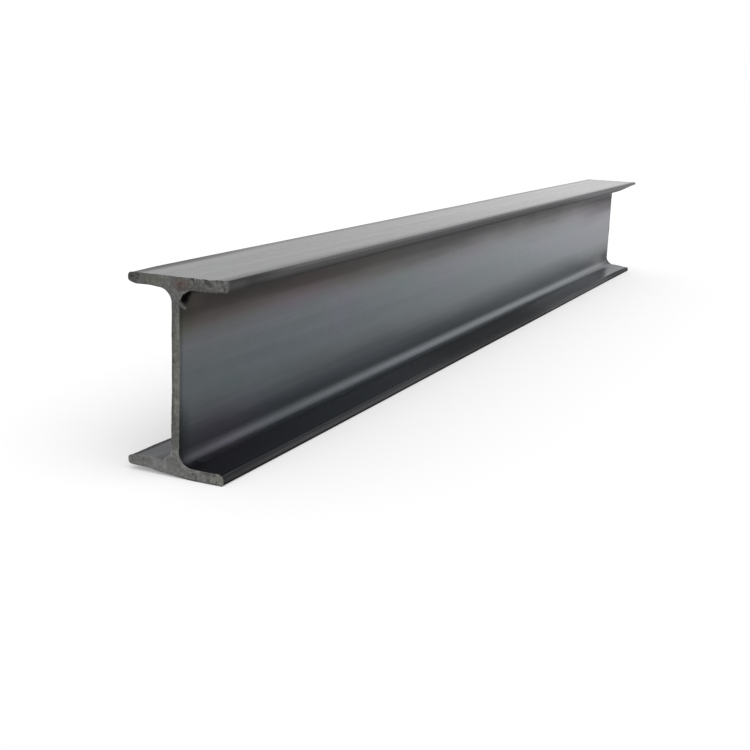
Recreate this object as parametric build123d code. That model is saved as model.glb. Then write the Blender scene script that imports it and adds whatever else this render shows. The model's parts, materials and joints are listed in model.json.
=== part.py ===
from build123d import *
import os

# A length of hot-rolled steel H-beam with parallel flanges: one bar, rolled in one piece and cut square at both ends.
# Units are millimetres. X runs along the beam, Y across its flanges and Z up its web.
# The origin is at the middle of the beam, on the underside of the bottom flange, which the beam stands on.

# The section, as the rolls leave it
depth = 100.0               # over both flanges
flange_width = 55.0
web_thickness = 4.1
flange_thickness = 5.7
root_radius = 7.0           # where a flange runs into the web
inner_toe_radius = 1.8      # the flange tip's edge on the web side
outer_toe_radius = 1.2      # the flange tip's edge on the outer face

# The cut length
length = 860.0

STEEL_DENSITY = 7.85e-6     # kg for each cubic millimetre


def section_outline():
    """The H shape with square corners: two flanges, and the web between their inner faces."""
    flange_centre = (depth - flange_thickness) / 2
    with BuildSketch() as outline:
        with Locations((0, depth / 2 + flange_centre), (0, depth / 2 - flange_centre)):
            Rectangle(flange_width, flange_thickness)
        with Locations((0, depth / 2)):
            Rectangle(web_thickness, depth - 2 * flange_thickness)
    return outline.sketch


def corners_at(sketch, across, up):
    """The corners that lie this far from the web's centre plane and this far from mid-depth, on any side."""
    near = 1e-4
    return [
        corner
        for corner in sketch.vertices()
        if abs(abs(corner.X) - across) < near and abs(abs(corner.Y - depth / 2) - up) < near
    ]


def rolled_section():
    """The H shape with its root fillets and the rounded edges of its flange tips."""
    inner_face = depth / 2 - flange_thickness
    section = section_outline()
    section = fillet(corners_at(section, web_thickness / 2, inner_face), root_radius)
    section = fillet(corners_at(section, flange_width / 2, inner_face), inner_toe_radius)
    section = fillet(corners_at(section, flange_width / 2, depth / 2), outer_toe_radius)
    return section


def h_beam():
    """The section drawn across the beam and run half the cut length each way."""
    return extrude(Plane.YZ * rolled_section(), length / 2, both=True)


beam = h_beam()
os.makedirs("parts", exist_ok=True)
export_step(beam, "parts/h_beam.step")

section_area = beam.volume / length
print(f"h_beam: section {section_area:.1f} mm2, {section_area * STEEL_DENSITY * 1000:.2f} kg/m,",
      f"{beam.volume * STEEL_DENSITY:.2f} kg over {length:.0f} mm")
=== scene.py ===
# %% [markdown]
# # A length of hot-rolled H-beam
#
# The real object is one bar of steel. Rolls squeeze it to its section while it is red hot, the air oxidises its skin
# to a hard blue-grey scale, and a saw cuts it to length when it is cold. There is nothing to assemble. What makes it
# believable is the exact section, the skin that the rolls leave, and the two raw ends.
#
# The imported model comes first. It is the fixed frame that everything below is measured from.

# %% Load the frame
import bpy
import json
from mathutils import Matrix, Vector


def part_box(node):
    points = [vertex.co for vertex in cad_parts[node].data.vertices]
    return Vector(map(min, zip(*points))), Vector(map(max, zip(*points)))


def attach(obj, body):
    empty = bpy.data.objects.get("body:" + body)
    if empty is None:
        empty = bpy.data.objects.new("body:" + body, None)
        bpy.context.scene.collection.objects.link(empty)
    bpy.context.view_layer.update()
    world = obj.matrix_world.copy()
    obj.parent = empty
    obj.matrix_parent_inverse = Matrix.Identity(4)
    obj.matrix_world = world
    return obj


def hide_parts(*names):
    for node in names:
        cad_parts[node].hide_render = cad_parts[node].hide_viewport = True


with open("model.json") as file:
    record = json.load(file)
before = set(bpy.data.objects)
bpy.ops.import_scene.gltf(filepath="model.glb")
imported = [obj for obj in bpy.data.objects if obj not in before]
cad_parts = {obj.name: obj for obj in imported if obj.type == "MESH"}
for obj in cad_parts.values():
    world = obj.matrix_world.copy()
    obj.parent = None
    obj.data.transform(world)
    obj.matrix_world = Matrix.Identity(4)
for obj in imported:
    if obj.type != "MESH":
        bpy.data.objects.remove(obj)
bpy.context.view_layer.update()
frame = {"record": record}

# %% Bring in what the steps below use
import json
import math

import bmesh
import bpy
from mathutils import Matrix, Quaternion, Vector, noise

MM = 0.001

# %% [markdown]
# ## The camera
#
# The photograph looks along the beam from its near end, a little above it, with the camera tilted slightly.
# A camera could be placed by eye, but the section's size is known, so the edges in the photograph fix the place, the
# direction and the lens. The numbers here come from such a fit. They are in the beam's own frame.

# %% Place the camera
CAMERA_PLACE = Vector((-879.9, -309.8, 187.5)) * MM
CAMERA_TURN = math.radians(24.41)      # from +X towards +Y
CAMERA_DIP = math.radians(13.76)       # below the horizon
CAMERA_ROLL = math.radians(2.06)       # about its own line of sight
PHOTO_SIDE = 750                       # pixels
FOCAL_LENGTH = 1151.8                  # pixels
SENSOR = 36.0

camera_data = bpy.data.cameras.new("photo_camera")
camera_data.sensor_width = SENSOR
camera_data.lens = SENSOR * FOCAL_LENGTH / PHOTO_SIDE
camera = bpy.data.objects.new("photo_camera", camera_data)
bpy.context.scene.collection.objects.link(camera)
bpy.context.scene.camera = camera

sight = Vector((
    math.cos(CAMERA_TURN) * math.cos(CAMERA_DIP),
    math.sin(CAMERA_TURN) * math.cos(CAMERA_DIP),
    -math.sin(CAMERA_DIP),
))
camera.location = CAMERA_PLACE
camera.rotation_mode = "QUATERNION"
camera.rotation_quaternion = sight.to_track_quat("-Z", "Y") @ Quaternion((0, 0, 1), CAMERA_ROLL)
print(f"lens {camera_data.lens:.2f} mm on a {SENSOR:.0f} mm sensor")

# %% [markdown]
# ## The section
#
# Rolls form the whole section at once, so its corners are never sharp: a 7 mm fillet runs from the web into each
# flange, and the flange tips are rounded, more on the web side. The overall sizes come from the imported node, and the
# thicknesses from where the record puts the beam's faces. One quarter of the outline is enough: its corners are
# rounded with a vertex bevel, as one would round a sketch, and two mirrors make the rest.

# %% Read the section's sizes
def face_place(name):
    """Where the record puts one of the beam's flat faces, in metres."""
    return Vector(next(m["pos_m"] for m in frame["record"]["mounts"] if m["name"] == name))


low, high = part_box("h_beam")
half_length = (high.x - low.x) / 2
half_width = (high.y - low.y) / 2
half_depth = (high.z - low.z) / 2
half_web = abs(face_place("web_front").y)
flange = face_place("bottom_flange_front").z
inner_face = half_depth - flange
root_radius = 7.0 * MM
inner_toe_radius = 1.8 * MM           # the flange tip's edge on the web side
outer_toe_radius = 1.2 * MM           # its edge on the outer face
hair = 0.01 * MM                      # what counts as the same place
print(f"section {2000 * half_depth:.0f} x {2000 * half_width:.0f} mm, web {2000 * half_web:.1f}, "
      f"flange {1000 * flange:.1f}, length {2000 * half_length:.0f} mm")

# %% Draw a quarter of the outline and round its corners
chamfer = 0.3 * MM                    # the saw breaks the edge round the cut this much
start_x = chamfer - half_length

beam_bm = bmesh.new()
corners = [
    beam_bm.verts.new((start_x, y, z))
    for y, z in (
        (half_web, 0),
        (half_web, inner_face),
        (half_width, inner_face),
        (half_width, half_depth),
        (0, half_depth),
    )
]
for pair in zip(corners, corners[1:]):
    beam_bm.edges.new(pair)

roundings = (
    (corners[1], root_radius, 12),
    (corners[2], inner_toe_radius, 5),
    (corners[3], outer_toe_radius, 4),
)
for corner, radius, segments in roundings:
    bmesh.ops.bevel(beam_bm, geom=[corner], offset=radius, offset_type="OFFSET", segments=segments, profile=0.5,
                    affect="VERTICES", material=-1)
print("quarter outline:", len(beam_bm.verts), "points")

# %% Divide the flats, mirror the quarter and fill the section
flat_step = 1.6 * MM
outer_step = 0.8 * MM                 # finer on the flange's outer face, whose cut edge is chipped
for edge in beam_bm.edges[:]:
    outer = min(v.co.z for v in edge.verts) > half_depth - hair
    cuts = round(edge.calc_length() / (outer_step if outer else flat_step)) - 1
    if cuts > 0:
        bmesh.ops.subdivide_edges(beam_bm, edges=[edge], cuts=cuts)
for axis in "YZ":
    bmesh.ops.mirror(beam_bm, geom=beam_bm.verts[:] + beam_bm.edges[:], matrix=Matrix.Identity(4),
                     merge_dist=hair, axis=axis)
bmesh.ops.translate(beam_bm, verts=beam_bm.verts[:], vec=(0, 0, half_depth))
rim_points = len(beam_bm.verts)
section_face = bmesh.ops.contextual_create(beam_bm, geom=beam_bm.edges[:])["faces"][0]
print(f"section: {rim_points} points, {section_face.calc_area() / MM**2:.1f} mm2")

# %% [markdown]
# ## The cut end
#
# A sawn face isn't flat: the blade leaves grooves, and its edge breaks in small chips. A bump map could draw the
# grooves, but the ends are what the photograph shows nearest, so they get real relief. For that the end face needs a
# fine grid. It is cut only inside a narrow rim, so that the long faces can keep a coarser one.

# %% Inset a rim and cut the end face into a grid
SKIN, CUT = 0, 1                      # material slots
grid_step = 0.55 * MM

bmesh.ops.inset_region(beam_bm, faces=[section_face], thickness=chamfer, depth=0, use_boundary=True,
                       use_even_offset=True)
for face in beam_bm.faces:
    face.material_index = SKIN
section_face.material_index = CUT
bmesh.ops.translate(beam_bm, verts=list(section_face.verts), vec=(-chamfer, 0, 0))


def slice_cut_face(bm, normal, places):
    """Cuts the end face by planes square to normal, at these distances from the origin."""
    for place in places:
        faces = [f for f in bm.faces if f.material_index == CUT]
        edges = {e for f in faces for e in f.edges}
        verts = {v for f in faces for v in f.verts}
        bmesh.ops.bisect_plane(bm, geom=faces + list(edges) + list(verts), dist=hair,
                               plane_co=normal * place, plane_no=normal)


def steps(start, end, step):
    """Evenly spaced places inside a stretch, about a step apart."""
    count = round((end - start) / step)
    return [start + (end - start) * i / count for i in range(1, count)]


slice_cut_face(beam_bm, Vector((0, 1, 0)), steps(-half_width, half_width, grid_step))
slice_cut_face(beam_bm, Vector((0, 0, 1)), steps(0, 2 * half_depth, grid_step))
for face in beam_bm.faces:
    face.material_index = CUT
print("end face:", len(beam_bm.faces), "faces")

# %% [markdown]
# ## The length
#
# A straight prism could come from one extrusion, but the skin needs points along its length to carry the slight
# waves of a rolled bar, and more of them close to the cuts, where the edge is ragged. So the extrusion's long edges
# are divided evenly in one call, and the rings of points are then slid to stations that crowd towards both ends.

# %% Choose the stations along the beam
first_step, last_step, growth = 0.4 * MM, 5.5 * MM, 1.12

half_stations, step = [start_x], first_step
while half_stations[-1] + step < 0:
    half_stations.append(half_stations[-1] + step)
    step = min(step * growth, last_step)
stretch = start_x / (start_x - half_stations[-1] - last_step / 2)
half_stations = [start_x + (x - start_x) * stretch for x in half_stations]
stations = half_stations + [-x for x in reversed(half_stations)]
widest = max(b - a for a, b in zip(stations, stations[1:]))
print(f"{len(stations)} stations, the widest gap {widest / MM:.2f} mm")

# %% Pull the section along and divide the long edges
pulled = bmesh.ops.extrude_face_region(beam_bm, geom=beam_bm.faces[:])["geom"]
far_verts = [g for g in pulled if isinstance(g, bmesh.types.BMVert)]
bmesh.ops.scale(beam_bm, vec=(-1, 1, 1), verts=far_verts)

long_edges = [e for e in beam_bm.edges if e.calc_length() > half_length]
for face in {f for e in long_edges for f in e.link_faces}:
    face.material_index = SKIN
bmesh.ops.subdivide_edges(beam_bm, edges=long_edges, cuts=len(stations) - 2, use_grid_fill=True)
even_gap = -2 * start_x / (len(stations) - 1)
for vert in beam_bm.verts:
    if abs(vert.co.x) < -start_x:
        vert.co.x = stations[round((vert.co.x - start_x) / even_gap)]
bmesh.ops.recalc_face_normals(beam_bm, faces=beam_bm.faces[:])
open_edges = sum(not e.is_manifold for e in beam_bm.edges)
print(f"beam: {len(beam_bm.faces)} faces, {open_edges} open edges, {beam_bm.calc_volume() / MM**3:.0f} mm3")

# %% [markdown]
# ## The skin laid out flat
#
# When the finishes are baked into one picture, the bar's shape is a poor fit for it: 860 mm long and 400 mm round.
# Its marks run along it, so they need twice as many dots across as along. An automatic layout wouldn't know that. This
# one slits the skin along the middle of the underside, rolls it out to fill most of the picture, and lays the two
# ends above it.

# %% Measure the way round the section
bake_map = beam_bm.loops.layers.uv.new("OFBake")
# This layer marks where the finishes paint the steel black as painted shade, deep in tears and the pit, and make it
# rougher.
hollow_shade = beam_bm.verts.layers.float.new("hollow_shade")     # 1 deep in a tear or a pit, for the finishes
bright = beam_bm.verts.layers.float.new("bright")     # 1 on freshly torn metal


def in_section(vert):
    """A point's place in the section, as a key."""
    return round(vert.co.y / MM, 3), round(vert.co.z / MM, 3)


ring = {v for v in beam_bm.verts if abs(v.co.x - start_x) < hair}
here = min(ring, key=lambda v: abs(v.co.y) + abs(v.co.z))
way_round = {in_section(here): 0.0}
girth = 0.0
while len(way_round) < len(ring):
    onward = (e.other_vert(here) for e in here.link_edges)
    ahead = next(v for v in onward if v in ring and in_section(v) not in way_round)
    girth += (ahead.co - here.co).length
    way_round[in_section(ahead)] = girth
    here = ahead
girth += math.hypot(here.co.y, here.co.z)
print(f"the skin is {girth / MM:.1f} mm round")

# %% Lay the skin and the ends out
MARGIN = 0.004                        # these are shares of the picture's side
SKIN_TOP = 0.850
ENDS_FLOOR, ENDS_SIZE = 0.860, 0.136  # where the ends' strip starts, and a flange's width in it
FAR_END = 0.27                        # how far the far end lies to the right of the near one
end_scale = ENDS_SIZE / (2 * half_width)

for face in beam_bm.faces:
    if face.material_index == CUT:
        shift = FAR_END if face.calc_center_median().x > 0 else 0
        for loop in face.loops:
            y, z = loop.vert.co.yz
            loop[bake_map].uv = (MARGIN + shift + z * end_scale, ENDS_FLOOR + (y + half_width) * end_scale)
        continue
    places = [way_round[in_section(v)] for v in face.verts]
    wraps = max(places) - min(places) > girth / 2
    for loop, place in zip(face.loops, places):
        if wraps and place < girth / 2:
            place += girth
        along = (loop.vert.co.x + half_length) / (2 * half_length)
        loop[bake_map].uv = (MARGIN + (1 - 2 * MARGIN) * along, MARGIN + (SKIN_TOP - MARGIN) * place / girth)

# %% [markdown]
# ## What the rolls left
#
# So far this is a drawing of a beam. A rolled bar has faint waves, because the rolls spring and the bar cools
# unevenly, and its flanges are never quite true: on this one the lower flange's back half is turned up a little
# towards the near end, and the front tips run out thin at the far end. Each of these could be sculpted by hand. Noise
# in code does it evenly over the whole bar, and gives the same bar every time. Lengths from here to the curl are in
# millimetres.

# %% The section's places in millimetres
TOP = round(2 * half_depth / MM, 3)
MIDDLE = TOP / 2
END_X = round(half_length / MM, 3)
HALF_FLANGE = round(flange / MM / 2, 3)
ROOT_RADIUS = round(root_radius / MM, 3)
ROOT_Y = round((half_web + root_radius) / MM, 3)       # the root fillets' centres, off the web's centre plane
LOW_ROOT = round((flange + root_radius) / MM, 3)       # and their heights
HIGH_ROOT = round(TOP - LOW_ROOT, 3)
print(f"roots at {ROOT_Y} off the web's middle, {LOW_ROOT} and {HIGH_ROOT} up, half flange {HALF_FLANGE} mm")

# %% Note where every point was drawn
beam_bm.normal_update()
drawn = {
    v: (v.co.x / MM, v.co.y / MM, v.co.z / MM, (half_length - abs(v.co.x)) / MM)
    for v in beam_bm.verts
}
outward = {v: Vector((0, v.normal.y, v.normal.z)) for v in beam_bm.verts}


def smooth_step(value, start, end):
    """0 before start, 1 after end, and an even S between them. Start may be the larger."""
    t = min(max((value - start) / (end - start), 0), 1)
    return t * t * (3 - 2 * t)


def ripple(*place):
    """Smooth noise, mostly from -0.6 to 0.6, at a place that is given in wave lengths."""
    return noise.noise(Vector(place))


# %% Give the rolled skin its waves
WAVES = (                             # height, and the length of one wave along and across the bar
    (0.16, 190, 60),
    (0.05, 45, 16),
)
TURN_UP = 2.4                         # how far the lower flange's back half has risen at the near end
SHIFT = 0.4                           # how far that half has moved outwards
LEAN = 0.60                           # how far the near end's web leans over, at its foot and at its head
THINNED = (0.35, 0.58)                # how much of the lower and the upper far front tip's thickness is gone
FLANGE_REACH = 8                      # deeper than a flange is thick

for vert, (x, y, z, depth) in drawn.items():
    for number, (height, along, across) in enumerate(WAVES):
        vert.co += outward[vert] * height * ripple(x / along, y / across, z / across + 20 * number) * MM
    bent = 0.7 * math.exp(-(x + END_X) / 250) + 0.3 * math.exp(-(x + END_X) / 25)
    turned = smooth_step(y, -16, 22) * smooth_step(z, 34, 8)
    vert.co.z += TURN_UP * turned * bent * MM
    vert.co.y += (LEAN * (MIDDLE - z) / MIDDLE + SHIFT * turned) * bent * MM
    upper = z > MIDDLE
    off_face = min(z, TOP - z)
    if off_face < FLANGE_REACH:
        thinned = THINNED[upper] * off_face * smooth_step(y, -10, -27) * smooth_step(x, 350, 445)
        vert.co.z += (thinned if upper else -thinned) * MM

# %% [markdown]
# ## What the saw left
#
# A cut is rougher than the rolled skin. The blade wandered and left curved grooves. Where it came out it pushed a
# burr over the edges, and it tore the upper flange's near tip off askew, with a small pit and a curl of metal in the
# root below. The photograph looks straight at these, so they are real relief, not bump. Every effect is a short
# function of the place in the section and the depth behind the cut, so one loop can add them all up.

# %% Describe the cut itself
BLADE_Y, BLADE_Z = 185, -95           # the disc stood behind and below the beam, so its grooves run aslant
CUT_REACH = 30                        # how far behind the cut its wandering is felt
EDGE_REACH = 4                        # the same for the chips in its edge
WORN_REACH = 25                       # and for the wear of the near tips


def blade_ring(y, z):
    """The distance from the disc's centre."""
    return math.hypot(y - BLADE_Y, z - BLADE_Z)


def groove(y, z, seed):
    """The blade's grooves, in rings about its centre."""
    ring = blade_ring(y, z)
    fine = 0.05 * ripple(ring / 1.3, seed, 0)
    coarse = 0.09 * ripple(ring / 4.5, seed, 3)
    return fine + coarse + 0.05 * ripple(y / 1.1, z / 1.1, seed)


def wander(y, z, seed):
    """How far the whole cut strays from square."""
    return 0.5 * ripple(y / 38, z / 38, seed)


# %% Describe the near end's damage
PIT_PLACE = 5.2                       # how far behind the cut the pit's middle lies
PIT_TURN, PIT_SPREAD = 0.62, 0.72     # where it lies round the root and how far it goes each way, in radians


def broken_tip(y, z):
    """The upper flange's near tip is cut back, on the side that the photograph shows."""
    jag = 1 + 0.35 * ripple(y / 1.6, z / 1.6, 9)
    return 3.0 * jag * smooth_step(y, -17, -25) * smooth_step(z, 88, 93)


def tear(y, z):
    """Aslant tears across the upper part of the same half of the flange."""
    line = ripple(blade_ring(y, z) / 2.3, 0.4, 5) + 0.35 * ripple(y / 1.8, z / 1.8, 2)
    return smooth_step(line, -0.04, 0.28) * smooth_step(y, 3, -6) * smooth_step(z, 95.6, 97.4)


def bite(y, z, seed):
    """Small bites out of the edge between the cut and the upper flange's top."""
    bitten = ripple(y / 1.9, 2, seed) + 0.6 * ripple(y / 0.9, 4, seed)
    return max(bitten + 0.1, 0) * smooth_step(y, 10, -1) * smooth_step(z, 98.0, 99.6)


def worn_tip(y, z, depth):
    """The near tips are worn round: a move across the section that is largest at their corners."""
    if abs(z - MIDDLE) < 44:
        return Vector((0, 0, 0))
    upper = z > MIDDLE
    off_middle = z - (TOP - HALF_FLANGE if upper else HALF_FLANGE)
    rounding = HALF_FLANGE - math.sqrt(max(HALF_FLANGE ** 2 - off_middle ** 2, 0))
    how_round = (0.3 if off_middle > 0 else 0.6) if upper else 0.25
    inwards = -how_round * rounding * smooth_step(y, 22, 27)
    if HALF_FLANGE < z < MIDDLE:
        inwards += 0.5 * rounding * smooth_step(y, -22, -27)
    thinned = 0.5 * smooth_step(z, 97, 94.3) * smooth_step(y, 7, 15)
    thinned -= 0.8 * smooth_step(z, 3, 5.4) * smooth_step(z, 50, 20) * smooth_step(y, 9, 20)
    thinned -= 0.2 * how_round * off_middle * smooth_step(y, 24, 27.5)
    return Vector((0, inwards, thinned)) * smooth_step(depth, WORN_REACH, 0)


def pit(y, z, depth):
    """A torn pocket in the front upper root, just behind the cut."""
    right, up = y + ROOT_Y, z - HIGH_ROOT
    if abs(math.hypot(right, up) - ROOT_RADIUS) > 1.5:
        return 0
    along = (depth - PIT_PLACE) / PIT_PLACE
    around = (math.atan2(up, right) - PIT_TURN) / PIT_SPREAD
    ragged = 0.25 * ripple(depth / 1.6, z / 1.6, 3)
    return smooth_step(1 + ragged - along ** 2 - around ** 2, 0.05, 0.6)


# %% Describe the burr on the edges
NEAR, FAR = -1, 1                     # the ends
ROOT_BURRS = (                        # which end, the centre of a root's arc, the burr's height and how deep it goes
    (NEAR, ROOT_Y, HIGH_ROOT, 0.4, 2.6),
    (NEAR, ROOT_Y, LOW_ROOT, 0.8, 2.2),
    (NEAR, -ROOT_Y, HIGH_ROOT, 0.4, 1.2),
    (FAR, -ROOT_Y, LOW_ROOT, 0.8, 1.8),
    (FAR, ROOT_Y, HIGH_ROOT, 0.5, 1.6),
)


def lip(y, z, depth, end):
    """The thin lip that the blade pushes over every edge of the cut."""
    raised = 0.18 + 0.34 * max(ripple(y / 7, z / 7, 6 + 2 * end) + 0.3 * ripple(y / 2.9, z / 2.9, 6), 0)
    return raised * math.exp(-max(depth - 0.3, 0) / 0.8)


def root_burr(y, z, depth, end):
    """Metal smeared across the roots, as a move across the section."""
    total = Vector((0, 0, 0))
    for at_end, centre_y, centre_z, height, reach in ROOT_BURRS:
        inward = Vector((0, centre_y - y, centre_z - z))
        in_corner = inward.y * centre_y > 0 and inward.z * (centre_z - MIDDLE) < 0
        if at_end != end or not in_corner or depth > 3 * reach:
            continue
        turn = math.atan2(abs(inward.z), abs(inward.y))
        ragged = 1 + 0.3 * ripple(y / 2.5, z / 2.5, 12)
        swell = height * ragged * smooth_step(inward.length, 10, 7.3) * math.sin(2 * turn)
        total += inward.normalized() * swell * math.exp(-((depth / reach) ** 2))
    return total


# %% Add it all up at both ends
for vert, (x, y, z, depth) in drawn.items():
    if depth > CUT_REACH:
        continue
    end = NEAR if x < 0 else FAR
    seed = 5 + 2.5 * end
    back = wander(y, z, seed)
    chips = groove(y, z, seed)
    if end == NEAR:
        torn, bitten, socket = tear(y, z), bite(y, z, seed), pit(y, z, depth)
        back += broken_tip(y, z)
        chips += 0.4 * torn + 1.3 * bitten
        vert.co += worn_tip(y, z, depth) * MM
        vert.co -= outward[vert] * 1.5 * socket * MM
        vert[hollow_shade] = max(socket, 0.4 * torn, 0.4 * bitten) if depth < 0.45 else socket
    if depth > 0.15:
        raised = lip(y, z, depth, end)
        vert.co += outward[vert] * raised * MM
        vert[bright] = 0.4 * smooth_step(raised, 0.24, 0.42) * smooth_step(depth, 1.2, 0.4)
    vert.co += root_burr(y, z, depth, end) * MM
    back = back * (1 - depth / CUT_REACH) ** 2 + chips * max(1 - depth / EDGE_REACH, 0)
    vert.co.x -= end * back * MM

# %% [markdown]
# One curl of metal still hangs in the near root, where the burr tore. It is pulled out of the skin like a sculptor's
# snake: four faces are extruded in short steps that shrink and turn. The faces that each step starts from stay inside
# the curl as walls, where nothing shows them.

# %% Pull one curl of metal out of the near edge
CURL_FOOT = Vector((-429.3, -2.0, 88.0)) * MM
CURL_STEP = 0.55 * MM
CURL_STEPS = 8
CURL_FACES = 4
CURL_SHRINK = (0.93, 0.93, 0.93)
curl_way = Vector((-0.05, -0.45, -0.90)).normalized()
curl_turn = Quaternion((1, 0, 0), math.radians(-7))

skin_before = set(beam_bm.faces)
foot_faces = [f for f in beam_bm.faces if f.material_index == SKIN]
curl = sorted(foot_faces, key=lambda f: (f.calc_center_median() - CURL_FOOT).length)[:CURL_FACES]
for _ in range(CURL_STEPS):
    made = bmesh.ops.extrude_face_region(beam_bm, geom=curl)["geom"]
    curl = [g for g in made if isinstance(g, bmesh.types.BMFace)]
    tip_verts = list({v for f in curl for v in f.verts})
    bmesh.ops.translate(beam_bm, verts=tip_verts, vec=curl_way * CURL_STEP)
    middle = sum((v.co for v in tip_verts), Vector()) / len(tip_verts)
    bmesh.ops.scale(beam_bm, verts=tip_verts, vec=CURL_SHRINK, space=Matrix.Translation(-middle))
    curl_way.rotate(curl_turn)
    for vert in tip_verts:
        vert[bright] = 0.6
        vert[hollow_shade] = 0

# %% Give the curl a place in the layout and check the mesh
CELL = 0.011                          # each face gets a square of its own, in rows of 40
ROW_LENGTH = 40
CURL_CORNER = Vector((0.55, 0.87))
SQUARE = ((0, 0), (0.8, 0), (0.8, 0.8), (0, 0.8))
curl_faces = [f for f in beam_bm.faces if f not in skin_before]
for number, face in enumerate(curl_faces):
    row, column = divmod(number, ROW_LENGTH)
    for loop, (right, up) in zip(face.loops, SQUARE):
        loop[bake_map].uv = CURL_CORNER + CELL * Vector((column + right, row + up))
open_edges = sum(e.is_boundary for e in beam_bm.edges)
walled_edges = sum(len(e.link_faces) > 2 for e in beam_bm.edges)
print(f"after the saw: {open_edges} open edges, {walled_edges} round the curl's inner walls,",
      f"a curl of {len(curl_faces)} faces")

# %% Make the beam's object
beam_mesh = bpy.data.meshes.new("h_beam_rolled")
beam_bm.to_mesh(beam_mesh)
beam_bm.free()
beam = bpy.data.objects.new("h_beam_rolled", beam_mesh)
bpy.context.scene.collection.objects.link(beam)
beam_mesh.shade_smooth()
beam_mesh.set_sharp_from_angle(angle=math.radians(28))
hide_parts("h_beam")
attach(beam, "root")
print("triangles:", sum(len(p.vertices) - 2 for p in beam_mesh.polygons))

# %% [markdown]
# ## The finishes
#
# Two finishes meet at the cut's edge. The skin is mill scale: a thin, hard oxide with a dull shine. The rolls press it
# hardest on the web's middle, where it is smooth and blue-grey, and painted lighter as a painted reflection. It stays
# thick and dull towards the roots, which are painted darker as painted shade, most of all under the upper flange, and
# the upper root is browner. The fillet carries a painted highlight along its middle, and everything is streaked along
# the bar. The cut is bare steel that has dulled.
#
# A painter would brush these zones on. Here colour ramps run across the section, and noise bends their borders, so
# the zones stay with the steel and cross from face to face unbroken.

# %% Helpers for shader nodes
def add_node(tree, kind, inputs=None, **options):
    """Adds a shader node, sets its options and fills its inputs with values or with links."""
    made = tree.nodes.new(kind)
    for option, value in options.items():
        setattr(made, option, value)
    for key, value in (inputs or {}).items():
        if isinstance(value, bpy.types.NodeSocket):
            tree.links.new(value, made.inputs[key])
        else:
            made.inputs[key].default_value = value
    return made


def new_material(name):
    """An empty node material."""
    material = bpy.data.materials.new(name)
    material.use_nodes = True
    material.node_tree.nodes.clear()
    return material


def maths(tree, operation, a, b=0.0, c=0.0):
    """One Math node's result."""
    return add_node(tree, "ShaderNodeMath", {0: a, 1: b, 2: c}, operation=operation).outputs[0]


def vector_maths(tree, operation, a, b):
    """One Vector Math node's resulting vector."""
    return add_node(tree, "ShaderNodeVectorMath", {0: a, 1: b}, operation=operation).outputs[0]


def distance_from(tree, place, point):
    """How far a place is from a point."""
    return add_node(tree, "ShaderNodeVectorMath", {0: place, 1: point}, operation="DISTANCE").outputs["Value"]


def product(tree, *factors):
    """The product of several values."""
    total = factors[0]
    for factor in factors[1:]:
        total = maths(tree, "MULTIPLY", total, factor)
    return total


def mask(tree, value, start, end):
    """0 where value is before start, 1 after end, smooth between."""
    return add_node(tree, "ShaderNodeMapRange", {"Value": value, "From Min": start, "From Max": end},
                    interpolation_type="SMOOTHSTEP").outputs[0]


def span(tree, value, start, end):
    """A mask whose start and end are places in millimetres."""
    return mask(tree, value, start * MM, end * MM)


def highest(tree, *values):
    """The largest of several values."""
    total = values[0]
    for value in values[1:]:
        total = maths(tree, "MAXIMUM", total, value)
    return total


def spread(tree, value, low, high):
    """Carries 0 to 1 over to low to high."""
    return add_node(tree, "ShaderNodeMapRange", {"Value": value, "To Min": low, "To Max": high}).outputs[0]


def mixed(tree, factor, a, b):
    """Colour a where factor is 0 and colour b where it is 1."""
    made = add_node(tree, "ShaderNodeMix", {0: factor, 6: a, 7: b}, data_type="RGBA")
    return made.outputs[2]


def scaled(tree, colour, factor):
    """A colour made lighter or darker."""
    return add_node(tree, "ShaderNodeVectorMath", {0: colour, "Scale": factor}, operation="SCALE").outputs[0]


def cloud(tree, coords, along, across, detail=3.0, roughness=0.5, shift=0.0, turn=0.0):
    """Noise whose blotches are this long along the bar and this wide across it, from 0 to 1."""
    placed = add_node(tree, "ShaderNodeMapping", {
        "Vector": coords,
        "Location": (shift, 0.7 * shift, 0.3 * shift),
        "Rotation": (0, math.radians(turn), math.radians(turn)),
        "Scale": (1 / along, 1 / across, 1 / across),
    })
    return add_node(tree, "ShaderNodeTexNoise", {
        "Vector": placed.outputs[0], "Scale": 1.0, "Detail": detail, "Roughness": roughness,
    }).outputs["Fac"]


def ramp(tree, value, full, stops):
    """Colours at these places along a length, smoothly joined. The places and the full length are in mm."""
    share = maths(tree, "MULTIPLY", value, 1 / (full * MM))
    made = add_node(tree, "ShaderNodeValToRGB", {0: share})
    made.color_ramp.interpolation = "CARDINAL"
    elements = made.color_ramp.elements
    elements.remove(elements[1])
    for number, (place, colour) in enumerate(stops):
        element = elements.new(place / full) if number else elements[0]
        element.position = place / full
        element.color = (*colour, 1) if isinstance(colour, tuple) else (colour, colour, colour, 1)
    return made.outputs[0]


def patch(tree, coords, centre, reach, bend, border=0.5):
    """1 in a ragged blot round centre and 0 outside. Bend is noise that makes it ragged."""
    offset = vector_maths(tree, "SUBTRACT", coords, centre)
    shares = vector_maths(tree, "MULTIPLY", offset, [1 / r for r in reach])
    distance = add_node(tree, "ShaderNodeVectorMath", {0: shares}, operation="LENGTH").outputs["Value"]
    return mask(tree, maths(tree, "ADD", distance, spread(tree, bend, -0.6, 0.6)), 1 + border, 1 - border)


def point_value(tree, name):
    """A value that the mesh's points carry."""
    return add_node(tree, "ShaderNodeAttribute", attribute_name=name).outputs["Fac"]
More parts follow.
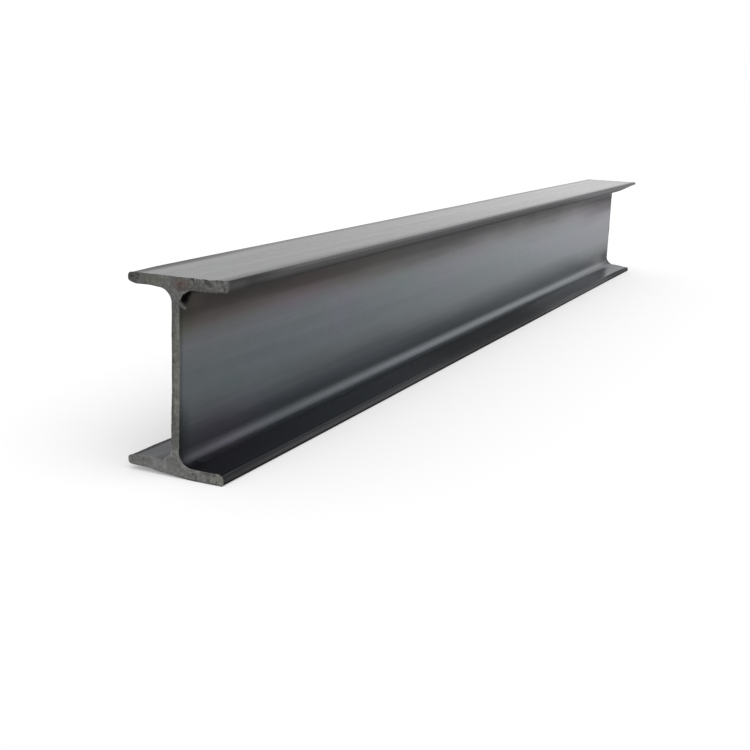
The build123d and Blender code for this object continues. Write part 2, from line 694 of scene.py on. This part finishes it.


# %% The mill scale's zones across the section
# Up the web the scale is painted darker near the floor as painted shade where the web mirrors the dark lower flange,
# lighter in the middle as a painted reflection, and darkest under the upper flange as painted shade.
WEB_ZONES = (                         # height above the floor in mm, and the colour of the scale there
    (4, (0.041, 0.045, 0.050)),
    (14, (0.050, 0.056, 0.064)),
    (20, (0.045, 0.050, 0.057)),
    (27, (0.060, 0.068, 0.075)),
    (35, (0.080, 0.090, 0.098)),
    (50, (0.085, 0.098, 0.106)),
    (65, (0.101, 0.109, 0.117)),
    (73, (0.078, 0.080, 0.085)),
    (80, (0.038, 0.037, 0.038)),
    (87, (0.020, 0.020, 0.020)),
    (96, (0.014, 0.013, 0.013)),
)
# Across the lower fillet a painted highlight runs from about 2.5 to 5.5 mm off the web's centre plane.
LOWER_LEDGE = (                       # distance from the web's centre plane in mm, for the fillet and the flange
    (2.0, (0.054, 0.060, 0.066)),
    (2.5, (0.080, 0.087, 0.094)),
    (3.1, (0.094, 0.103, 0.111)),
    (4.1, (0.064, 0.071, 0.080)),
    (5.5, (0.071, 0.080, 0.089)),
    (7.2, (0.058, 0.067, 0.077)),
    (9.5, (0.038, 0.044, 0.053)),
    (24.0, (0.038, 0.044, 0.053)),
)
# Under the upper flange the colour is painted darkest next to the web, as painted shade in the corner.
UPPER_LEDGE = (
    (2.0, (0.017, 0.016, 0.016)),
    (6.0, (0.020, 0.019, 0.019)),
    (10.0, (0.034, 0.034, 0.036)),
    (24.0, (0.048, 0.049, 0.052)),
)
LEDGE_END = 30                        # mm, past the flange's tip
OUTER_FACE = (0.078, 0.080, 0.083, 1)

scale_material = new_material("mill_scale")
tree = scale_material.node_tree
coords = add_node(tree, "ShaderNodeTexCoord").outputs["Object"]
x, y, z = add_node(tree, "ShaderNodeSeparateXYZ", {0: coords}).outputs
from_web = maths(tree, "ABSOLUTE", y)
from_middle = maths(tree, "ABSOLUTE", maths(tree, "SUBTRACT", z, half_depth))

streaks = cloud(tree, coords, 260 * MM, 7 * MM, detail=4, roughness=0.6)
hairlines = cloud(tree, coords, 140 * MM, 1.9 * MM, detail=3, roughness=0.6, shift=51)
clouds = cloud(tree, coords, 150 * MM, 45 * MM, detail=3, shift=4)
tints = cloud(tree, coords, 90 * MM, 30 * MM, detail=2, shift=11)
mottle = cloud(tree, coords, 9 * MM, 6 * MM, detail=4, roughness=0.6, shift=21)
grain = cloud(tree, coords, 2.6 * MM, 2.2 * MM, detail=2, shift=31)

wavy_z = maths(tree, "MULTIPLY_ADD", clouds, 16 * MM, maths(tree, "ADD", z, -8 * MM))          # 8 mm either way
wavy_z = maths(tree, "MULTIPLY_ADD", streaks, 10 * MM, maths(tree, "ADD", wavy_z, -5 * MM))    # and 5 mm more
on_ledge = span(tree, z, 13.4, 11.4)
under_top = span(tree, z, 86.6, 88.6)
outside = span(tree, from_middle, 48.6, 49.8)
inner = maths(tree, "SUBTRACT", 1.0, outside)
# Along the bar the colour is scaled as painted light: the web lighter towards the far end as a painted reflection, the
# fillet's painted highlight strongest in the middle, and the lower flange painted darker from the middle on and much
# lighter towards the far end.
web_reflection_gain = spread(tree, span(tree, x, -420, 60), 0.96, 1.28)
fillet_highlight_gain = product(
    tree,
    spread(tree, span(tree, x, -414, -376), 0.66, 0.92),
    spread(tree, span(tree, x, -360, -100), 1.0, 1.52),
    spread(tree, span(tree, x, 250, 400), 1.0, 0.78),
)
flange_middle_shade = spread(tree, span(tree, x, -280, 0), 1.0, 0.48)
flange_light_gain = product(tree, flange_middle_shade, spread(tree, span(tree, x, 60, 340), 0.85, 4.0))
ledge_light_gain = mixed(tree, span(tree, from_web, 5, 9), fillet_highlight_gain, flange_light_gain)

colour = scaled(tree, ramp(tree, wavy_z, TOP, WEB_ZONES), web_reflection_gain)
lower_ledge = scaled(tree, ramp(tree, from_web, LEDGE_END, LOWER_LEDGE), ledge_light_gain)
colour = mixed(tree, on_ledge, colour, lower_ledge)
colour = mixed(tree, under_top, colour, ramp(tree, from_web, LEDGE_END, UPPER_LEDGE))
colour = mixed(tree, outside, colour, OUTER_FACE)

# %% Its tints
VIOLET = (1.08, 0.95, 1.08, 1)
TEAL = (0.955, 1.0, 1.02, 1)
GREEN = (0.95, 1.04, 0.97, 1)
BROWN = (1.30, 1.10, 0.98, 1)
GREENISH = (0.95, 1.06, 0.88, 1)


def tinted(tree, colour, factor, tint):
    """A colour multiplied by a tint, as far as factor says."""
    return vector_maths(tree, "MULTIPLY", colour, mixed(tree, factor, (1, 1, 1, 1), tint))


# A browner band under the upper root, on the near half of the bar.
brown_band = product(tree, span(tree, wavy_z, 66, 82), span(tree, x, -60, -330), inner)
low_violet = product(tree, span(tree, x, -330, -390), span(tree, x, -424, -406), span(tree, z, 36, 20))
far_violet = product(tree, span(tree, x, 120, 360), span(tree, z, 24, 46))
violet = product(tree, mask(tree, tints, 0.50, 0.68), span(tree, z, 34, 50))
violet = highest(tree, violet, low_violet, far_violet)
teal = product(tree, span(tree, x, -400, -340), span(tree, x, 390, 320), span(tree, z, 76, 62))
colour = tinted(tree, colour, maths(tree, "MULTIPLY", violet, inner), VIOLET)
colour = tinted(tree, colour, teal, TEAL)
colour = tinted(tree, colour, mask(tree, tints, 0.44, 0.30), GREEN)
colour = tinted(tree, colour, brown_band, BROWN)

# %% Its flange tips and their edges
# The black of painted shade on the tips' edges.
SHADE_BLACK = (0.010, 0.010, 0.010, 1)
# On the lower tips a painted highlight line runs 2 to 3 mm up, with painted shade below it at the floor; the upper
# tips are painted lighter towards their top as painted light.
TIP_ZONES = (                         # height above the floor in mm, and the colour on the flange tips
    (0.0, (0.010, 0.010, 0.010)),
    (1.1, (0.012, 0.012, 0.013)),
    (2.0, (0.034, 0.034, 0.036)),
    (3.0, (0.038, 0.038, 0.041)),
    (4.4, (0.015, 0.015, 0.017)),
    (6.0, (0.018, 0.018, 0.020)),
    (94.0, (0.030, 0.030, 0.032)),
    (95.5, (0.050, 0.050, 0.053)),
    (97.2, (0.086, 0.086, 0.090)),
    (99.0, (0.078, 0.078, 0.081)),
)

tip = span(tree, from_web, 25.6, 27.1)
# Along the bar the tips are painted darker at the near end and lighter at the far end as painted light, and the lower
# tips darker from the middle on as painted shade.
low_tip_middle_shade = spread(tree, span(tree, x, -280, 0), 1.0, 0.60)
tip_light_gain = product(
    tree,
    spread(tree, span(tree, x, -415, -370), 0.6, 1.12),
    spread(tree, span(tree, x, 80, 400), 1.0, 1.35),
    spread(tree, mask(tree, z, half_depth, 10 * MM), 1.0, low_tip_middle_shade),
)
tip_colour = scaled(tree, ramp(tree, z, TOP, TIP_ZONES), tip_light_gain)
# Black is painted as painted shade along the lower tips' edges at the floor, along the upper flange's back edge, and
# low on the back tip towards the near end; these edges are also made rougher.
lower_edge = product(tree, span(tree, from_web, 25.4, 26.8), span(tree, z, 2.1, 1.1))
back_edge = product(tree, span(tree, y, 25.2, 26.4), span(tree, z, 98.4, 99.4), span(tree, x, 0, -300))
back_low_edge = product(tree, span(tree, y, 22.8, 25.2), span(tree, z, 3.0, 4.0), span(tree, z, 20, 12),
                        span(tree, x, -150, -300), 0.45)
edge_shade = highest(tree, lower_edge, back_edge, back_low_edge)
colour = mixed(tree, maths(tree, "MULTIPLY", tip, 0.9), colour, tip_colour)
colour = mixed(tree, edge_shade, colour, SHADE_BLACK)

# %% Its lighter and darker places
# Near the cut the upper web's front is painted a little darker as painted shade, with a greenish tint.
greenish_shade = product(tree, span(tree, x, -414, -423), span(tree, z, 66, 74), inner, span(tree, z, 89, 83),
                 span(tree, y, 0, -1))
# Low on the web at the near end, and high on the web and in the lower root at the far end, the scale is painted darker
# as painted shade and made rougher.
low_near = product(tree, span(tree, x, -418, -428), span(tree, z, 46, 24), span(tree, z, 6, 9), span(tree, y, 0, -1))
far_high = product(tree, span(tree, x, 280, 390), span(tree, wavy_z, 54, 74), span(tree, z, 87, 81), 0.8)
far_root = product(tree, span(tree, x, 385, 424), span(tree, z, 26, 15), span(tree, z, 6, 8))
shade_and_dull = highest(tree, maths(tree, "MULTIPLY", greenish_shade, 0.15), low_near, far_high, far_root)
# A strip of the web by the cut, the outer faces next to the flange tips, and the back of the top face at the near end
# are painted darker as painted shade; the outer ones are also made rougher.
cut_edge_shade = product(tree, span(tree, x, -425.5, -428.4), inner)
shoulder_shade = product(tree, span(tree, from_web, 19, 27), outside)
back_shoulder_shade = product(tree, span(tree, y, 17, 22), span(tree, x, -300, -390), outside)
# The top face's front edge is painted lighter as a painted highlight.
front_edge = product(tree, span(tree, y, -25.6, -26.6), span(tree, z, 98.2, 99.0), span(tree, x, -400, -345))
front_edge_highlight = spread(tree, span(tree, x, 150, 330), 1.75, 1.2)
# The back lower root and flange towards the near end are made darker in a mottle, and rougher.
back_ledge = product(tree, span(tree, y, 3, 9), span(tree, z, 12, 9), span(tree, x, -200, -380))
back_ledge_mottle = spread(tree, mask(tree, mottle, 0.34, 0.66), 0.46, 0.78)
# The web's lower middle and foot are painted lighter as painted light, as is the upper root at both ends; the upper
# root's middle stretch, the lower flange by the far fillet and the lower tips' far top edges are painted darker as
# painted shade.
web_middle = product(tree, span(tree, x, -50, 100), span(tree, z, 17, 22), span(tree, z, 62, 54))
web_foot = product(tree, span(tree, x, -395, -375), span(tree, x, -100, -200), span(tree, z, 15, 19),
                   span(tree, z, 27, 22))
mid_root = product(tree, span(tree, x, -110, -20), span(tree, x, 190, 100), span(tree, z, 75, 79),
                   span(tree, z, 87, 83))
high_root = product(tree, highest(tree, span(tree, x, 120, 240), span(tree, x, -404, -416)), span(tree, z, 82, 85),
                    inner)
far_lip = product(tree, span(tree, x, 120, 260), span(tree, from_web, 24.6, 25.8), span(tree, z, 3.4, 4.2),
                  span(tree, z, 8, 6))
ledge_top = product(tree, span(tree, from_web, 7, 11), span(tree, z, 8, 6))
far_ledge = product(tree, span(tree, x, 300, 390), ledge_top)
mid_ledge = product(tree, span(tree, x, -200, -90), span(tree, x, 150, 50), ledge_top)

# %% Its tone
# These scale the tone: the places are painted light and painted shade, apart from the back ledge's mottle.
SHADES = (                            # a place, and how much lighter or darker it is there
    (shade_and_dull, 0.62),
    (cut_edge_shade, 0.58),
    (shoulder_shade, 0.74),
    (back_shoulder_shade, 0.72),
    (front_edge, front_edge_highlight),
    (back_ledge, back_ledge_mottle),
    (web_middle, 1.07),
    (web_foot, 1.18),
    (mid_root, 0.75),
    (high_root, 1.5),
    (far_ledge, 0.8),
    (far_lip, 0.5),
)
mottled = maths(tree, "SUBTRACT", mottle, 0.5)
blotched = maths(tree, "MULTIPLY_ADD", mottled, spread(tree, outside, 0.24, 0.10), 1.0)
tone = product(tree, spread(tree, streaks, 0.80, 1.20), spread(tree, hairlines, 0.93, 1.07), blotched)
for place, factor in SHADES:
    tone = product(tree, tone, spread(tree, place, 1.0, factor))
colour = tinted(tree, colour, greenish_shade, GREENISH)
colour = scaled(tree, colour, tone)

# %% Its shine
WEB_SHINE = (                         # height above the floor in mm, and the roughness
    (4, 0.30),
    (14, 0.42),
    (24, 0.38),
    (36, 0.31),
    (60, 0.29),
    (74, 0.33),
    (82, 0.42),
    (90, 0.48),
    (96, 0.48),
)
LEDGE_SHINE = (                       # distance from the web's centre plane in mm, and the roughness
    (2.0, 0.40),
    (3.2, 0.26),
    (5.0, 0.32),
    (7.0, 0.36),
    (10.0, 0.24),
    (24.0, 0.22),
)
outer_shine = spread(tree, span(tree, x, -430, 330), 0.28, 0.18)
DULLER = (                            # a place, and how much rougher it is there
    (shade_and_dull, 0.14),
    (maths(tree, "ADD", shoulder_shade, back_shoulder_shade), 0.12),
    (highest(tree, tip, far_lip), 0.26),
    (mid_ledge, 0.14),
    (maths(tree, "ADD", back_ledge, far_ledge), 0.15),
    (edge_shade, 0.45),
)

ledge_shine = ramp(tree, from_web, LEDGE_END, LEDGE_SHINE)
roughness = mixed(tree, on_ledge, ramp(tree, wavy_z, TOP, WEB_SHINE), ledge_shine)
roughness = mixed(tree, outside, roughness, outer_shine)
roughness = maths(tree, "ADD", roughness, spread(tree, streaks, -0.05, 0.05))
roughness = maths(tree, "ADD", roughness, spread(tree, mottle, -0.03, 0.03))
for place, more in DULLER:
    roughness = maths(tree, "MULTIPLY_ADD", place, more, roughness)

# %% Its flakes, freckles and scratches
near_marks = spread(tree, span(tree, x, 60, 260), 1.0, 0.3)

flakes = cloud(tree, coords, 14 * MM, 8 * MM, detail=5, roughness=0.65, shift=61)
flaked = product(tree, mask(tree, flakes, 0.64, 0.70), mask(tree, clouds, 0.42, 0.6), near_marks)
freckles = cloud(tree, coords, 3.2 * MM, 2.6 * MM, detail=3, shift=71)
freckle_fields = cloud(tree, coords, 60 * MM, 25 * MM, shift=81)
freckled = product(tree, mask(tree, freckles, 0.66, 0.74), mask(tree, freckle_fields, 0.50, 0.66), near_marks)
long_scratches = cloud(tree, coords, 85 * MM, 0.9 * MM, detail=1, shift=91, turn=7)
short_scratches = cloud(tree, coords, 40 * MM, 0.8 * MM, detail=1, shift=97, turn=-19)
scratched = highest(tree, mask(tree, long_scratches, 0.735, 0.79),
                    product(tree, mask(tree, short_scratches, 0.755, 0.80), 0.8))
scratched = product(tree, scratched, maths(tree, "SUBTRACT", 1.0, brown_band))

# %% Its torn metal and pits
BARE = (0.200, 0.200, 0.200, 1)
RUST = (0.105, 0.055, 0.032, 1)
TORN = (0.210, 0.210, 0.200, 1)
BLACK = (0.006, 0.006, 0.006, 1)
FOOT_SPOT = Vector((-423, -9.3, 6.5)) * MM
FOOT_SPOT_REACH = Vector((6, 3.4, 3)) * MM

in_hollow_shade = point_value(tree, "hollow_shade")
foot_spot = patch(tree, coords, FOOT_SPOT, FOOT_SPOT_REACH, mottle)
colour = mixed(tree, maths(tree, "MULTIPLY", flaked, 0.35), colour, OUTER_FACE)
colour = mixed(tree, maths(tree, "MULTIPLY", freckled, 0.12), colour, RUST)
colour = mixed(tree, maths(tree, "MULTIPLY", scratched, 0.35), colour, BARE)
colour = mixed(tree, point_value(tree, "bright"), colour, TORN)
# Deep in the tears, bites and the pit the scale is painted black as painted shade.
colour = mixed(tree, mask(tree, in_hollow_shade, 0.1, 0.7), colour, BLACK)
colour = mixed(tree, maths(tree, "MULTIPLY", foot_spot, 0.75), colour, BLACK)
for place, more in ((flaked, 0.06), (freckled, 0.05), (in_hollow_shade, 0.5)):
    roughness = maths(tree, "MULTIPLY_ADD", place, more, roughness)

# %% Its relief and its shader
RELIEF = (                            # a pattern, and its height in metres
    (grain, 0.007 * MM),
    (streaks, 0.02 * MM),
    (hairlines, 0.006 * MM),
    (flaked, -0.02 * MM),
    (scratched, -0.01 * MM),
)


def metal(tree, colour, metallic, roughness, height):
    """A metal's shader, with this height as its bump, joined to the material's output."""
    bump = add_node(tree, "ShaderNodeBump", {"Height": height, "Distance": 1.0, "Strength": 1.0})
    shader = add_node(tree, "ShaderNodeBsdfPrincipled", {
        "Base Color": colour,
        "Metallic": metallic,
        "Roughness": roughness,
        "Normal": bump.outputs[0],
    })
    add_node(tree, "ShaderNodeOutputMaterial", {"Surface": shader.outputs["BSDF"]})


height = maths(tree, "MULTIPLY", mottle, 0.022 * MM)
for pattern, depth in RELIEF:
    height = maths(tree, "MULTIPLY_ADD", pattern, depth, height)
metal(tree, colour, 0.95, roughness, height)
beam_mesh.materials.append(scale_material)
print("mill scale:", len(tree.nodes), "nodes")

# %% The sawn steel's patterns
cut_material = new_material("sawn_steel")
tree = cut_material.node_tree
coords = add_node(tree, "ShaderNodeTexCoord").outputs["Object"]
_, y, z = add_node(tree, "ShaderNodeSeparateXYZ", {0: coords}).outputs
in_plane = vector_maths(tree, "MULTIPLY", coords, (0, 1, 1))
blots = cloud(tree, coords, 14 * MM, 9 * MM, detail=4, roughness=0.6, shift=7)
spots = cloud(tree, coords, 3 * MM, 2.2 * MM, detail=3, shift=17)
ragged = cloud(tree, coords, 1.8 * MM, 1.8 * MM, detail=4, roughness=0.6, shift=27)

blade_centre = Vector((0, BLADE_Y, BLADE_Z)) * MM
off_blade = distance_from(tree, in_plane, blade_centre)
ring_coords = add_node(tree, "ShaderNodeCombineXYZ", {0: off_blade}).outputs[0]
rings = cloud(tree, ring_coords, 1.4 * MM, 1.0, detail=3, roughness=0.7, shift=3)
root_centre = Vector((0, -ROOT_Y, LOW_ROOT)) * MM
off_root = distance_from(tree, in_plane, root_centre)
root_coords = add_node(tree, "ShaderNodeCombineXYZ", {0: off_root}).outputs[0]
root_lines = cloud(tree, root_coords, 1.1 * MM, 1.0, detail=2, roughness=0.6, shift=43)
up_first = add_node(tree, "ShaderNodeCombineXYZ", {0: z, 1: y}).outputs[0]
web_lines = cloud(tree, up_first, 16 * MM, 0.7 * MM, detail=2, roughness=0.6, shift=33)

# %% The sawn steel's colour
CUT_GREY = (0.125, 0.125, 0.122, 1)
CUT_PALE = (0.184, 0.184, 0.180, 1)
CUT_DARK = (0.085, 0.084, 0.083, 1)
SPECKS = (0.030, 0.030, 0.030, 1)
WEB_PALE = (0.172, 0.176, 0.150, 1)
STAINS = (                            # the centre in the section and the reach in mm, the colour and its strength
    (-3.5, 97.0, 4.5, 2.4, (0.128, 0.097, 0.084, 1), 0.65),
    (-3.2, 97.0, 1.7, 1.3, (0.088, 0.050, 0.040, 1), 0.60),
    (12.0, 97.6, 5.0, 2.8, (0.135, 0.138, 0.110, 1), 0.60),
    (-24.5, 3.0, 5.0, 3.0, (0.170, 0.173, 0.147, 1), 0.60),
    (25.0, 98.0, 4.0, 3.0, (0.060, 0.060, 0.058, 1), 0.60),
    (-16.0, 98.0, 10.0, 4.0, (0.088, 0.087, 0.085, 1), 0.45),
    (-13.0, 94.9, 12.0, 1.2, (0.070, 0.062, 0.056, 1), 0.65),
    (1.2, 79.0, 2.4, 9.0, (0.070, 0.070, 0.069, 1), 0.60),
    (7.0, 3.2, 9.0, 4.0, (0.185, 0.185, 0.183, 1), 0.40),
)
STAIN_DEPTH = 10                      # how far the stains reach along the bar, in mm

on_web = product(tree, span(tree, z, 13, 19), span(tree, z, 86, 80))
on_root = product(tree, span(tree, z, 20, 14), span(tree, off_root, 15, 11))
lines = mixed(tree, on_web, mask(tree, rings, 0.30, 0.70), mask(tree, web_lines, 0.35, 0.65))
lines = mixed(tree, on_root, lines, mask(tree, root_lines, 0.35, 0.65))
colour = mixed(tree, lines, CUT_DARK, CUT_GREY)
web_front = product(tree, on_web, span(tree, y, 1.4, -0.6), spread(tree, span(tree, z, 22, 40), 0.15, 0.55))
colour = mixed(tree, web_front, colour, WEB_PALE)
colour = mixed(tree, maths(tree, "MULTIPLY", mask(tree, spots, 0.50, 0.72), 0.4), colour, CUT_PALE)
for stain_y, stain_z, reach_y, reach_z, stain, strength in STAINS:
    centre = Vector((-END_X, stain_y, stain_z)) * MM
    reach = Vector((STAIN_DEPTH, reach_y, reach_z)) * MM
    blot = patch(tree, coords, centre, reach, ragged)
    colour = mixed(tree, maths(tree, "MULTIPLY", blot, strength), colour, stain)
low_flange = span(tree, z, 17, 11)
speckled = product(tree, mask(tree, spots, 0.44, 0.35), low_flange, spread(tree, span(tree, y, -5, -14), 0.12, 0.6))
colour = mixed(tree, speckled, colour, SPECKS)

# %% The sawn steel's tone, relief and shader
web_back = product(tree, on_web, span(tree, y, 0.2, 1.6))
# The cut's bottom rim by the floor is painted darker as painted shade.
bottom_rim = span(tree, z, 1.5, 0.4)
worn_edge = product(tree, span(tree, y, 19, 23), span(tree, z, 90, 93))
rough_tone = spread(tree, mask(tree, ragged, 0.34, 0.66), spread(tree, worn_edge, 0.82, 0.5), 1.18)
tone = product(tree, spread(tree, mask(tree, blots, 0.34, 0.66), 0.86, 1.14), rough_tone)
for place, factor in ((low_flange, 1.30), (web_back, 0.82), (bottom_rim, 0.62)):
    tone = product(tree, tone, spread(tree, place, 1.0, factor))
colour = scaled(tree, colour, tone)
colour = mixed(tree, point_value(tree, "bright"), colour, TORN)
# Deep in the tears and the pit the cut is painted black as painted shade.
colour = mixed(tree, mask(tree, point_value(tree, "hollow_shade"), 0.1, 0.75), colour, BLACK)

height = maths(tree, "MULTIPLY_ADD", spots, 0.025 * MM, maths(tree, "MULTIPLY", rings, 0.06 * MM))
metal(tree, colour, 0.75, spread(tree, rings, 0.42, 0.6), height)
beam_mesh.materials.append(cut_material)
print("sawn steel:", len(tree.nodes), "nodes")

# %% [markdown]
# ## Floor and light
#
# Product photographs of steel stand on white with one broad light above, so that long faces show long even
# gradients and no lamp is mirrored. An area lamp close by would do it for the near end and fade along the bar. A very
# wide sun and an even sky light the whole length alike.

# %% World
LIGHT_LEVEL = 0.6

world = bpy.data.worlds.new("studio")
bpy.context.scene.world = world
world.use_nodes = True
tree = world.node_tree
tree.nodes.clear()


def seen_directly(tree):
    """1 for rays from the camera and for mirror-like and refracted ones, else 0."""
    path = add_node(tree, "ShaderNodeLightPath").outputs
    glossy = maths(tree, "ADD", path["Is Camera Ray"], path["Is Glossy Ray"])
    return add_node(tree, "ShaderNodeMath", {0: glossy, 1: path["Is Transmission Ray"]},
                    operation="ADD", use_clamp=True).outputs[0]


strength = spread(tree, seen_directly(tree), LIGHT_LEVEL, 1.0)
background = add_node(tree, "ShaderNodeBackground", {"Color": (1, 1, 1, 1), "Strength": strength})
add_node(tree, "ShaderNodeOutputWorld", {"Surface": background.outputs[0]})

# %% Floor
FLOOR_SIZE = 60.0                     # half its side, in metres
FLOOR_GLOW = 0.3                      # brings its white up to the background's

floor_bm = bmesh.new()
bmesh.ops.create_grid(floor_bm, x_segments=1, y_segments=1, size=FLOOR_SIZE)
floor_mesh = bpy.data.meshes.new("studio_floor")
floor_bm.to_mesh(floor_mesh)
floor_bm.free()
floor = bpy.data.objects.new("studio_floor", floor_mesh)
bpy.context.scene.collection.objects.link(floor)

floor_material = new_material("studio_floor")
tree = floor_material.node_tree
diffuse = add_node(tree, "ShaderNodeBsdfDiffuse", {"Color": (0.75, 0.75, 0.75, 1)})
glow_strength = maths(tree, "MULTIPLY", seen_directly(tree), FLOOR_GLOW)
glow = add_node(tree, "ShaderNodeEmission", {"Strength": glow_strength})
both = add_node(tree, "ShaderNodeAddShader", {0: diffuse.outputs[0], 1: glow.outputs[0]})
add_node(tree, "ShaderNodeOutputMaterial", {"Surface": both.outputs[0]})
floor_mesh.materials.append(floor_material)

# %% Lamp
KEY_DIRECTION = Vector((0.35, 0.45, -1.0))
KEY_STRENGTH = 1.4
KEY_ANGLE = math.radians(70)          # as wide as a softbox, and as bright on the far floor as on the beam

key_data = bpy.data.lights.new("key", "SUN")
key_data.energy = KEY_STRENGTH
key_data.angle = KEY_ANGLE
key = bpy.data.objects.new("key", key_data)
key.rotation_mode = "QUATERNION"
key.rotation_quaternion = KEY_DIRECTION.to_track_quat("-Z", "Y")
bpy.context.scene.collection.objects.link(key)

# %% View settings
bpy.context.scene.view_settings.view_transform = "Standard"
